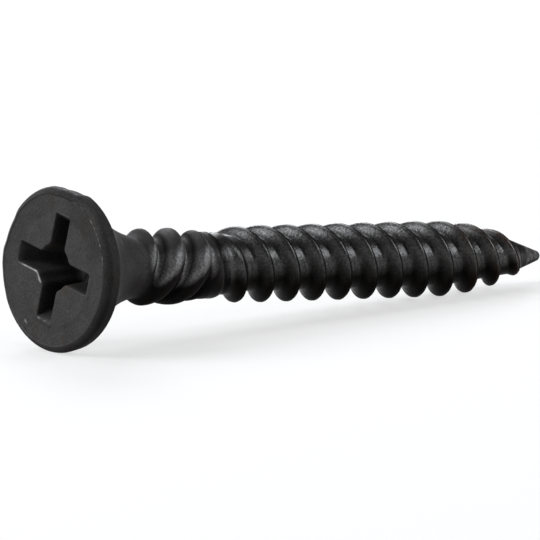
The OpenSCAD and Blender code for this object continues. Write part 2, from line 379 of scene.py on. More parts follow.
def head_profile(s):
    """Radius and station from the face's edge to the neck."""
    head_r, e = s.head_d / 2, s.edge_r
    rim_r = head_r - s.rim_taper
    slope = math.atan2(s.rim_taper, s.rim_h - e)
    corner_r = 0.2 * MM
    cut = corner_r * math.tan((s.cone_angle - slope) / 2)
    profile = []
    crease = math.radians(24)
    for a in np.radians(EDGE_ANGLES):
        out = (math.sin(a) - math.sin(crease)) / (1 - math.sin(crease))
        profile.append((head_r - e + e * out, e * (1 - math.cos(a) / math.cos(crease))))
    start = np.array([rim_r + cut * math.sin(slope), s.rim_h - cut * math.cos(slope)])
    for k in range(1, RIM_STEPS):
        profile.append(tuple(np.array([head_r, e]) * (1 - k / RIM_STEPS) + start * k / RIM_STEPS))
    centre = start - corner_r * np.array([math.cos(slope), math.sin(slope)])
    for k in range(CORNER_STEPS + 1):
        a = slope + (s.cone_angle - slope) * k / CORNER_STEPS
        profile.append((centre[0] + corner_r * math.cos(a), centre[1] + corner_r * math.sin(a)))
    neck_r = s.neck_d / 2
    run = rim_r - neck_r - s.sweep_r * (math.cos(s.neck_slope) - math.cos(s.cone_angle))
    cone_h = run / math.tan(s.cone_angle)
    for k in range(2, CONE_STEPS):
        profile.append((rim_r - run * k / CONE_STEPS, s.rim_h + cone_h * k / CONE_STEPS))
    centre_z = s.rim_h + cone_h + s.sweep_r * math.sin(s.cone_angle)
    centre_r = neck_r + s.sweep_r * math.cos(s.neck_slope)
    for k in range(SWEEP_STEPS + 1):
        a = s.cone_angle + (s.neck_slope - s.cone_angle) * k / SWEEP_STEPS
        profile.append((centre_r - s.sweep_r * math.cos(a), centre_z - s.sweep_r * math.sin(a)))
    return profile


def bump(points, centre, spread):
    """A smooth bump of 1 about one turn of the screw, gone beyond the spread on either side; in degrees."""
    psi = np.degrees(np.arctan2(points[:, 1], points[:, 0]))
    away = np.abs((psi - centre + 180) % 360 - 180)
    return smooth(2 * (1 - away / spread))


def marks(points, table):
    """The marks of a table, added up at some points."""
    return sum(amount * bump(points, centre, spread) for amount, centre, spread in table)


def knocked(rings):
    """The head's rim with three shallow flats, knocked on in the tumbling drum."""
    made = []
    for points in rings:
        p = points.copy()
        radius = np.hypot(p[:, 0], p[:, 1])
        outer = smooth((radius - 2.6 * MM) / (1.1 * MM))
        p[:, :2] *= (1 - outer * marks(p, KNOCKED_FLATS) * MM / np.maximum(radius, MM))[:, None]
        made.append(p)
    return made


def head_wear(recess, face, sides):
    """Where the coat is worn through: the recess's mouth, a nick, part of the face's edge and the neck."""
    worn = []
    for k, points in enumerate(recess):
        mouth = 1.0 if k >= len(recess) - len(MOUTH_ANGLES) else 0.0
        worn.append(mouth * marks(points, MOUTH_WEAR))
    worn.append(marks(face[0], FACE_MOUTH_WEAR))

    # Rings are counted so that 0 is the last one of the face, on which the wear of its edge begins
    for k, points in enumerate((face + sides[:len(EDGE_ANGLES)])[1:], 2 - len(face)):
        radius = np.hypot(points[:, 0], points[:, 1])
        nick = marks(points, (NICK,)) * (np.abs(radius - 3.3 * MM) < 0.1 * MM)
        edge = marks(points, EDGE_WEAR[k:k + 1]) if k >= 0 else 0.0
        worn.append(edge + nick)
    for points in sides[len(EDGE_ANGLES):]:
        worn.append(marks(points, (NECK_WEAR,)) * (np.abs(points[:, 2] - 2.85 * MM) < 0.15 * MM))
    return np.clip(np.concatenate(worn), 0, 1)


def head_soot(recess, face, sides):
    """Darkening of the head: painted shade in the recess, deeper down, darker patches on the outer face, and
    painted shade on the rim.
    """
    soot = []
    # Painted shade in the recess, darker towards its bottom
    for points in recess:
        soot.append(0.42 * smooth((points[:, 2] - 0.05 * MM) / (0.4 * MM)))
    # Darker patches on the outer face
    for points in face:
        outer = smooth((np.hypot(points[:, 0], points[:, 1]) - 2.5 * MM) / (0.3 * MM))
        soot.append(outer * marks(points, FACE_DARK_PATCHES))
    # Painted shade on the rim, all round and more on two sides
    for k, points in enumerate(sides):
        rim = 0.3 + marks(points, RIM_PAINTED_SHADE) if k < RIM_RINGS else np.zeros(len(points))
        if k < len(EDGE_ANGLES) - 1:
            rim = rim * bump(points, 247, 105)
        soot.append(rim)
    return np.concatenate(soot)


def tilted(rings, s, neck_z):
    """The head leant over about the middle of its rim, less and less towards the neck."""
    pivot = s.rim_h * 0.7
    lean_x, lean_y = s.head_tilt * math.cos(s.tilt_turn), s.head_tilt * math.sin(s.tilt_turn)
    made = []
    for points in rings:
        p = points.copy()
        share = 1 - smooth((points[:, 2] - s.rim_h) / (neck_z - s.rim_h))
        p[:, 0] += share * lean_x * (points[:, 2] - pivot)
        p[:, 1] += share * lean_y * (points[:, 2] - pivot)
        p[:, 2] -= share * (lean_x * points[:, 0] + lean_y * points[:, 1])
        made.append(p)
    return made


def skin(name, rings, first_pole=None, last_pole=None, **coat):
    """Mesh of rings of equal length joined by quads, closed by a pole at an end where one is given."""
    n = len(rings[0])
    points = list(np.concatenate(rings))
    base = np.arange(n)
    following = np.roll(base, -1)
    faces = []
    for k in range(len(rings) - 1):
        a, b = base + k * n, following + k * n
        faces += np.stack([a, b, b + n, a + n], 1).tolist()
    if first_pole is not None:
        faces += [[b, a, len(points)] for a, b in zip(base.tolist(), following.tolist())]
        points.append(np.array(first_pole))
    if last_pole is not None:
        last = (len(rings) - 1) * n
        faces += [[a + last, b + last, len(points)] for a, b in zip(base.tolist(), following.tolist())]
        points.append(np.array(last_pole))
    mesh = bpy.data.meshes.new(name)
    mesh.from_pydata([tuple(p) for p in points], [], faces)
    for label, value in {**FORGED_COAT, **coat}.items():
        layer = mesh.attributes.new(label, "FLOAT", "POINT")
        full = np.zeros(len(points), np.float32)
        full[:n * len(rings)] = value
        layer.data.foreach_set("value", full)
    return mesh


def head_part(head, angles):
    """Head with its recess, rim, cone and neck, and the station at which the neck ends."""
    recess = recess_rings(head, len(angles))
    face = face_rings(head, recess[-1], angles)
    profile = head_profile(head)
    neck_z = profile[-1][1]
    sides = [ring(radius, station, angles) for radius, station in profile]
    middle = np.mean(recess[0], 0, keepdims=True)
    middle[:, 2] = head.recess_depth + head.bottom_h
    pole = tilted([middle], head, neck_z)[0][0]
    rings = tilted(recess + knocked(face + sides), head, neck_z)
    worn = head_wear(recess, face, sides)
    soot = head_soot(recess, face, sides)
    return skin("head", rings, first_pole=pole, worn=worn, soot=soot), neck_z


def sharp_end(head, main):
    """Station at which the cone of the point would end if it were sharp."""
    return head.length - main.tip_r + main.tip_r / math.sin(main.point_slope)


def point_part(head, main, low_z, angles):
    """Bare cone of the point, from a station to its rounded end."""
    slope, tip_r = main.point_slope, main.tip_r
    tip_z = head.length - tip_r
    touch_z = tip_z + tip_r * math.sin(slope)
    rings = []
    for k in range(POINT_STEPS + 1):
        z = low_z + (touch_z - low_z) * k / POINT_STEPS
        rings.append(ring((sharp_end(head, main) - z) * math.tan(slope), z, angles))
    for k in range(1, TIP_STEPS):
        a = slope + (math.pi / 2 - slope) * k / TIP_STEPS
        rings.append(ring(tip_r * math.cos(a), tip_z + tip_r * math.sin(a), angles))
    return skin("point", rings, last_pole=(0, 0, head.length), worked=0.4, worn=0.66)


def tooth_rows(pitch, rows):
    """Offsets of a tooth's rows from its crest, closest together on the crest."""
    t = np.arange(rows) / rows * 2 - 1
    return pitch / 2 * np.sign(t) * np.abs(t) ** ROW_CROWDING


def helix_lattice(values, high, rows, angles):
    """A tube whose rows follow a helix and whose ends are flat rings, with each point's station and turn."""
    low, phase, pitch, hand = values["From"], values["Phase"], values["Pitch"], int(values["Hand"])
    n = len(angles)
    turn = angles / (2 * math.pi)
    offsets = tooth_rows(pitch, rows)
    first = math.floor((low - phase) / pitch - STARTS * (1 + turn[0])) - 1
    last = math.ceil((high - phase) / pitch + STARTS * (1 + turn[0])) + 2
    index = np.arange(first * rows, last * rows)
    helix = phase + np.floor_divide(index, rows) * pitch + offsets[index % rows]
    station = helix[:, None] + hand * STARTS * pitch * turn[None, :]
    count = len(index)
    snap = 0.005 * MM
    wrap = hand * STARTS * rows
    grid = np.arange(count * n).reshape(count, n)
    grid[station < low + snap] = -1
    grid[station > high - snap] = -2
    columns = np.broadcast_to(np.arange(n), grid.shape)
    ids = np.where(grid == -1, columns, np.where(grid == -2, n + columns, grid + 2 * n))
    following = np.empty_like(ids)
    following[:, :-1] = ids[:, 1:]
    rolled = np.arange(count) + wrap
    inside = (rolled >= 0) & (rolled < count)
    following[inside, -1] = ids[rolled[inside], 0]
    following[~inside, -1] = np.where(rolled[~inside] < 0, 0, n)
    faces = []
    for k in range(count - 1):
        square = np.stack([ids[k], following[k], following[k + 1], ids[k + 1]], 1)
        live = (square[:, 0] != square[:, 3]) | (square[:, 1] != square[:, 2])
        faces += [list(dict.fromkeys(corners)) for corners in square[live].tolist()]
    stations = np.concatenate([np.full(n, low), np.full(n, high), np.clip(station, low, high).ravel()])
    all_turns = np.concatenate([turn, turn, np.tile(turn, count)])
    used = np.unique(np.concatenate(faces))
    renumber = np.full(len(stations), -1)
    renumber[used] = np.arange(len(used))
    faces = [[int(renumber[i]) for i in corners] for corners in faces]
    plain_tube = ring(1.5 * MM, stations[used], all_turns[used] * 2 * math.pi)
    mesh = bpy.data.meshes.new("lattice")
    mesh.from_pydata(plain_tube.tolist(), [], faces)
    for label, stored in (("station", stations[used]), ("turn", all_turns[used])):
        layer = mesh.attributes.new(label, "FLOAT", "POINT")
        layer.data.foreach_set("value", stored.astype(np.float32))
    return mesh


def add(tree, kind, inputs=None, out=0, **settings):
    """Add a node with its settings, link or set its inputs, and give back one of its outputs."""
    node = tree.nodes.new(kind)
    for key, value in settings.items():
        setattr(node, key, value)
    for key, value in (inputs or {}).items():
        if isinstance(value, bpy.types.NodeSocket):
            tree.links.new(value, node.inputs[key])
        else:
            node.inputs[key].default_value = value
    return node.outputs[out] if len(node.outputs) else node


THREAD_INPUTS = (
    "Pitch", "Hand", "Phase", "Crest Radius", "Root Radius", "Crest Width", "Head Flank", "Point Flank",
    "Roundness", "From", "To", "Run In", "Run Out", "Start Radius", "End Radius",
    "Fade From", "Fade To", "Fade Lean", "Fade Turn", "Taper From", "Taper To",
    "Core From", "Core To", "Core End Radius", "Cone From", "Cone To", "Cone Radius", "Tip Radius",
    "Seam Offset", "Seam Width", "Seam Depth", "Seam Jag", "Lip Height", "Unevenness",
    "Skin From", "Skin To", "Shine", "Dust And Top Light", "Painted Root Shade Place", "Painted Root Shade Spread", "Painted Root Shade Share",
    "Ring Place", "Ring Lean", "Ring Turn", "Ring Width", "Ring Depth",
)


def rolled_thread_tree(material):
    """Node tree that rolls a twin-start thread into a lattice, by the radius at each station and turn."""
    tree = bpy.data.node_groups.new("rolled thread", "GeometryNodeTree")
    tree.interface.new_socket("Geometry", in_out="INPUT", socket_type="NodeSocketGeometry")
    for name in THREAD_INPUTS:
        tree.interface.new_socket(name, in_out="INPUT", socket_type="NodeSocketFloat")
    tree.interface.new_socket("Geometry", in_out="OUTPUT", socket_type="NodeSocketGeometry")
    given = tree.nodes.new("NodeGroupInput").outputs
    station = add(tree, "GeometryNodeInputNamedAttribute", {"Name": "station"}, data_type="FLOAT")
    turn = add(tree, "GeometryNodeInputNamedAttribute", {"Name": "turn"}, data_type="FLOAT")

    # Distance from the crest, along the screw
    lead = add(tree, MATHS, {0: given["Pitch"], 1: given["Hand"]}, operation="MULTIPLY")
    lead = add(tree, MATHS, {0: lead, 1: float(STARTS)}, operation="MULTIPLY")
    crest_z = add(tree, MATHS, {0: turn, 1: lead, 2: given["Phase"]}, operation="MULTIPLY_ADD")
    offset = add(tree, MATHS, {0: station, 1: crest_z}, operation="SUBTRACT")
    half = add(tree, MATHS, {0: given["Pitch"], 1: 0.5}, operation="MULTIPLY")
    minus_half = add(tree, MATHS, {0: half, 1: -1.0}, operation="MULTIPLY")
    offset = add(tree, MATHS, {0: offset, 1: half, 2: minus_half}, operation="WRAP")

    # Share of the tooth's height, 1 on the crest and 0 on the root
    land = add(tree, MATHS, {0: given["Crest Width"], 1: 0.5}, operation="MULTIPLY")
    head_foot = add(tree, MATHS, {0: land, 1: given["Head Flank"]}, operation="ADD")
    point_foot = add(tree, MATHS, {0: land, 1: given["Point Flank"]}, operation="ADD")
    mirrored = add(tree, MATHS, {0: offset, 1: -1.0}, operation="MULTIPLY")
    head_fall = add(tree, RAMP, {"Value": mirrored, "From Min": land, "From Max": head_foot})
    point_fall = add(tree, RAMP, {"Value": offset, "From Min": land, "From Max": point_foot})
    line = add(tree, MATHS, {0: head_fall, 1: point_fall}, operation="MAXIMUM")
    waved = add(tree, RAMP, {"Value": line}, **EASED)
    domed = add(tree, MATHS, {0: line, 1: DOME_BEND}, operation="POWER")
    fall = add(tree, RAMP, {"Value": given["Roundness"], "To Min": waved, "To Max": domed})
    share = add(tree, MATHS, {0: 1.0, 1: fall}, operation="SUBTRACT")

    # The thread rises out of the bare shank and sinks back into it
    risen = add(tree, MATHS, {0: given["From"], 1: given["Run In"]}, operation="ADD")
    sinking = add(tree, MATHS, {0: given["To"], 1: given["Run Out"]}, operation="SUBTRACT")
    rise = add(tree, RAMP, {"Value": station, "From Min": given["From"], "From Max": risen}, **EASED)
    sink = add(tree, RAMP, {"Value": station, "From Min": given["To"], "From Max": sinking}, **EASED)
    rise = add(tree, MATHS, {0: rise, 1: sink}, operation="MULTIPLY")

    # It fades out at a slant before the point
    angle_value = add(tree, MATHS, {0: turn, 1: 2 * math.pi}, operation="MULTIPLY")
    aslant = add(tree, MATHS, {0: angle_value, 1: given["Fade Turn"]}, operation="SUBTRACT")
    aslant = add(tree, MATHS, {0: aslant}, operation="COSINE")
    aslant = add(tree, MATHS, {0: aslant, 1: given["Fade Lean"], 2: station}, operation="MULTIPLY_ADD")
    fade = add(
        tree, RAMP, {"Value": aslant, "From Min": given["Fade To"], "From Max": given["Fade From"]}, **EASED
    )

    # Radius of the core, which narrows to the cone of the point
    plain = add(
        tree, RAMP,
        {"Value": station, "From Min": risen, "From Max": sinking, "To Min": given["Start Radius"],
         "To Max": given["End Radius"]},
        **EASED,
    )
    root = add(
        tree, RAMP,
        {"Value": station, "From Min": given["Core From"], "From Max": given["Core To"],
         "To Min": given["Root Radius"], "To Max": given["Core End Radius"]},
    )
    core = add(tree, RAMP, {"Value": rise, "To Min": plain, "To Max": root})
    cone = add(
        tree, RAMP,
        {"Value": station, "From Min": given["Cone From"], "From Max": given["Cone To"],
         "To Min": given["Cone Radius"], "To Max": given["Tip Radius"]},
        clamp=False,
    )
    core = add(tree, MATHS, {0: core, 1: cone}, operation="MINIMUM")

    # Radius of the crest, and the tooth between the two
    drop = add(tree, RAMP, {"Value": station, "From Min": given["Taper From"], "From Max": given["Taper To"]})
    drop = add(tree, MATHS, {0: drop, 1: TAPER_BEND}, operation="POWER")
    low_crest = add(tree, MATHS, {0: given["Crest Radius"], 1: TIP_CREST}, operation="MULTIPLY")
    crest = add(tree, RAMP, {"Value": drop, "To Min": given["Crest Radius"], "To Max": low_crest})
    height = add(tree, MATHS, {0: crest, 1: core}, operation="SUBTRACT")
    height = add(tree, MATHS, {0: height, 1: 0.0}, operation="MAXIMUM")
    strength = add(tree, MATHS, {0: rise, 1: fade}, operation="MULTIPLY")
    height = add(tree, MATHS, {0: height, 1: strength}, operation="MULTIPLY")
    radius = add(tree, MATHS, {0: share, 1: height, 2: core}, operation="MULTIPLY_ADD")

    # Place on the round surface, in which the noise is laid
    cosine = add(tree, MATHS, {0: angle_value}, operation="COSINE")
    sine = add(tree, MATHS, {0: angle_value}, operation="SINE")
    tall = add(tree, MATHS, {0: station, 1: 1 / (1.5 * MM)}, operation="MULTIPLY")
    place = add(tree, "ShaderNodeCombineXYZ", {"X": cosine, "Y": sine, "Z": tall})

    # Rolling seam beside the crest, a ragged groove between two lips
    stray = add(tree, NOISE, {"Vector": place, "Scale": 3.0, "Detail": 3.0}, noise_dimensions="3D")
    stray = add(tree, MATHS, {0: stray, 1: 0.5}, operation="SUBTRACT")
    stray = add(tree, MATHS, {0: stray, 1: given["Seam Jag"]}, operation="MULTIPLY")
    aside = add(tree, MATHS, {0: offset, 1: given["Seam Offset"]}, operation="SUBTRACT")
    aside = add(tree, MATHS, {0: aside, 1: stray}, operation="ADD")
    aside = add(tree, MATHS, {0: aside}, operation="ABSOLUTE")
    lip_edge = add(tree, MATHS, {0: given["Seam Width"], 1: 3.0}, operation="MULTIPLY")
    groove = add(tree, RAMP, {"Value": aside, "From Min": given["Seam Width"], "From Max": 0.0}, **EASED)
    lip = add(tree, RAMP, {"Value": aside, "From Min": lip_edge, "From Max": given["Seam Width"]}, **EASED)
    groove = add(tree, MATHS, {0: groove, 1: strength}, operation="MULTIPLY")
    lip = add(tree, MATHS, {0: lip, 1: strength}, operation="MULTIPLY")
    deep = add(tree, MATHS, {0: groove, 1: given["Seam Depth"]}, operation="MULTIPLY")
    raised = add(tree, MATHS, {0: lip, 1: given["Lip Height"], 2: radius}, operation="MULTIPLY_ADD")
    radius = add(tree, MATHS, {0: raised, 1: deep}, operation="SUBTRACT")

    # Slanting groove between the two threads, where the rolling dies began
    slant = add(tree, MATHS, {0: angle_value, 1: given["Ring Turn"]}, operation="SUBTRACT")
    slant = add(tree, MATHS, {0: slant}, operation="COSINE")
    ring_z = add(
        tree, MATHS, {0: slant, 1: given["Ring Lean"], 2: given["Ring Place"]}, operation="MULTIPLY_ADD"
    )
    away = add(tree, MATHS, {0: station, 1: ring_z}, operation="SUBTRACT")
    near = add(tree, MATHS, {0: away}, operation="ABSOLUTE")
    hollow = add(tree, RAMP, {"Value": near, "From Min": given["Ring Width"], "From Max": 0.0}, **EASED)
    hollow_depth = add(tree, MATHS, {0: hollow, 1: given["Ring Depth"]}, operation="MULTIPLY")
    radius = add(tree, MATHS, {0: radius, 1: hollow_depth}, operation="SUBTRACT")
    groove = add(tree, MATHS, {0: groove, 1: hollow}, operation="MAXIMUM")

    # Waviness left by the rolling dies
    noise = add(tree, NOISE, {"Vector": place, "Scale": 1.3, "Detail": 2.0}, noise_dimensions="3D")
    noise = add(tree, MATHS, {0: noise, 1: 0.5}, operation="SUBTRACT")
    noise = add(tree, MATHS, {0: noise, 1: strength}, operation="MULTIPLY")
    radius = add(tree, MATHS, {0: noise, 1: given["Unevenness"], 2: radius}, operation="MULTIPLY_ADD")

    # The point's place, and what the coat's material reads
    x = add(tree, MATHS, {0: cosine, 1: radius}, operation="MULTIPLY")
    y = add(tree, MATHS, {0: sine, 1: radius}, operation="MULTIPLY")
    place = add(tree, "ShaderNodeCombineXYZ", {"X": x, "Y": y, "Z": station})
    shape = add(tree, "GeometryNodeSetPosition", {"Geometry": given["Geometry"], "Position": place})
    crest_share = add(tree, MATHS, {0: share, 1: strength}, operation="MULTIPLY")
    across = add(tree, MATHS, {0: offset, 1: given["Pitch"]}, operation="DIVIDE")
    across = add(tree, MATHS, {0: across, 1: strength}, operation="MULTIPLY")
    crest_edge = add(tree, MATHS, {0: given["Seam Offset"], 1: given["Pitch"]}, operation="DIVIDE")
    low = add(tree, RAMP, {"Value": strength, "To Min": 0.1, "To Max": 0.0})
    crest_edge = add(tree, MATHS, {0: crest_edge, 1: low}, operation="ADD")
    # Painted shade in a band in the root, placed from the crest
    soot = add(tree, MATHS, {0: across, 1: given["Painted Root Shade Place"]}, operation="SUBTRACT")
    soot = add(tree, MATHS, {0: soot}, operation="ABSOLUTE")
    soot = add(
        tree, RAMP,
        {"Value": soot, "From Min": given["Painted Root Shade Spread"], "From Max": 0.0, "To Max": given["Painted Root Shade Share"]},
        **EASED,
    )
    soot = add(tree, MATHS, {0: soot, 1: strength}, operation="MULTIPLY")
    rolled = add(
        tree, RAMP, {"Value": station, "From Min": given["Skin From"], "From Max": given["Skin To"]}, **EASED
    )
    worked = add(tree, RAMP, {"Value": strength, "From Max": 0.35, "To Max": given["Shine"]})
    stored = (("crest", crest_share), ("groove", groove), ("across", across), ("rolled", rolled),
              ("worked", worked), ("crest_edge", crest_edge), ("soot", soot), ("dust_and_top_light", given["Dust And Top Light"]))
    for name, value in stored:
        shape = add(
            tree, "GeometryNodeStoreNamedAttribute", {"Geometry": shape, "Name": name, "Value": value},
            data_type="FLOAT", domain="POINT",
        )
    shape = add(tree, "GeometryNodeRealizeInstances", {"Geometry": shape})
    shape = add(tree, "GeometryNodeSetMaterial", {"Geometry": shape, "Material": material})
    add(tree, "NodeGroupOutput", {"Geometry": shape})
    return tree


def roll(mesh, tree, values):
    """Run the thread's tree on a lattice and give back the plain mesh."""
    lattice = bpy.data.objects.new("lattice", mesh)
    bpy.context.scene.collection.objects.link(lattice)
    modifier = lattice.modifiers.new("rolled thread", "NODES")
    modifier.node_group = tree
    for item in tree.interface.items_tree:
        if item.in_out == "INPUT" and item.name in values:
            modifier[item.identifier] = values[item.name]
    depsgraph = bpy.context.evaluated_depsgraph_get()
    made = bpy.data.meshes.new_from_object(lattice.evaluated_get(depsgraph), depsgraph=depsgraph)
    bpy.data.objects.remove(lattice)
    return made


def thread_values(thread, lip_h, hand, low_z):
    """Tree inputs that both threads have, for a thread that begins at a station."""
    rise = thread.turn / (2 * math.pi) * STARTS * thread.pitch
    return {
        "Pitch": thread.pitch,
        "Hand": float(hand),
        "Phase": low_z - hand * rise + thread.shift,
        "Crest Radius": thread.crest_d / 2,
        "Root Radius": thread.root_d / 2,
        "Crest Width": thread.crest_w,
        "Head Flank": thread.head_flank_w,
        "Point Flank": thread.point_flank_w,
        "Roundness": thread.roundness,
        "From": low_z,
        "Run In": thread.run_in,
        "Seam Offset": thread.seam_offset,
        "Seam Width": thread.seam_w,
        "Seam Depth": thread.seam_depth,
        "Seam Jag": thread.seam_jag,
        "Lip Height": lip_h,
        "Unevenness": thread.uneven,
        "Shine": thread.shine,
        "Dust And Top Light": thread.dust_and_top_light,
        "Painted Root Shade Place": thread.soot_place,
        "Painted Root Shade Spread": thread.soot_spread,
        "Painted Root Shade Share": thread.soot_share,
    }


def counter_values(head, counter, main, lip_h, neck_z, join_z):
    """Tree inputs of the left-hand thread, with the taper, point and groove put far away."""
    far = 9 * head.length
    values = thread_values(counter, lip_h, -1, neck_z)
    for name in ("Fade", "Taper", "Core", "Cone"):
        values[name + " From"] = far
        values[name + " To"] = 2 * far
    for name in ("Fade Lean", "Fade Turn", "Ring Lean", "Ring Turn", "Ring Depth"):
        values[name] = 0.0
    values.update({
        "To": join_z,
        "Run Out": counter.run_out,
        "Start Radius": head.neck_d / 2,
        "End Radius": main.shank_d / 2,
        "Core End Radius": counter.root_d / 2,
        "Cone Radius": far,
        "Tip Radius": far / 2,
        "Skin From": neck_z - 0.3 * counter.run_in,
        "Skin To": neck_z + 0.9 * counter.run_in,
        "Ring Place": far,
        "Ring Width": main.ring_w,
    })
    return values


def main_values(head, main, lip_h, join_z, high_z):
    """Tree inputs of the right-hand thread."""
    slope = math.tan(main.point_slope)
    core_z = head.length - main.point_len
    core_r = (sharp_end(head, main) - core_z) * slope
    far = 9 * head.length
    values = thread_values(main, lip_h, 1, join_z)
    values.update({
        "To": 2 * far,
        "Run Out": far,
        "Start Radius": main.shank_d / 2,
        "End Radius": main.shank_d / 2,
        "Fade From": head.length - main.bare_len - main.fade_len,
        "Fade To": head.length - main.bare_len,
        "Fade Lean": main.fade_lean,
        "Fade Turn": main.fade_turn,
        "Taper From": head.length - main.taper_len,
        "Taper To": head.length,
        "Core From": core_z - main.core_taper_len,
        "Core To": core_z,
        "Core End Radius": core_r,
        "Cone From": core_z,
        "Cone To": high_z,
        "Cone Radius": core_r,
        "Tip Radius": (sharp_end(head, main) - high_z) * slope,
        "Skin From": 0.0,
        "Skin To": join_z,
        "Ring Place": main.ring_z,
        "Ring Lean": main.ring_lean,
        "Ring Turn": main.ring_turn,
        "Ring Width": main.ring_w,
        "Ring Depth": main.ring_depth,
    })
    return values


def lying_place():
    """Turn and place that lay the upright screw down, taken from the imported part's recess and thread."""
    mounts = {m["name"]: m for m in frame["record"]["mounts"]}
    along = Vector(mounts["screw_thread"]["axis"]).normalized()
    across = Vector((0, 1, 0))
    down = across.cross(along)
    turn = Matrix((down, across, along)).transposed().to_4x4()
    return Matrix.Translation(Vector(mounts["drive_recess"]["pos_m"])) @ turn


def joined(name, meshes):
    """One closed mesh from parts that share their end rings."""
    body = bmesh.new()
    for mesh in meshes:
        body.from_mesh(mesh)
        bpy.data.meshes.remove(mesh)
    bmesh.ops.remove_doubles(body, verts=body.verts, dist=0.0005 * MM)
    bmesh.ops.recalc_face_normals(body, faces=body.faces)
    if any(len(edge.link_faces) != 2 for edge in body.edges):
        raise RuntimeError("the screw's mesh isn't closed")
    made = bpy.data.meshes.new(name)
    body.to_mesh(made)
    body.free()
    made.polygons.foreach_set("use_smooth", [True] * len(made.polygons))
    return made


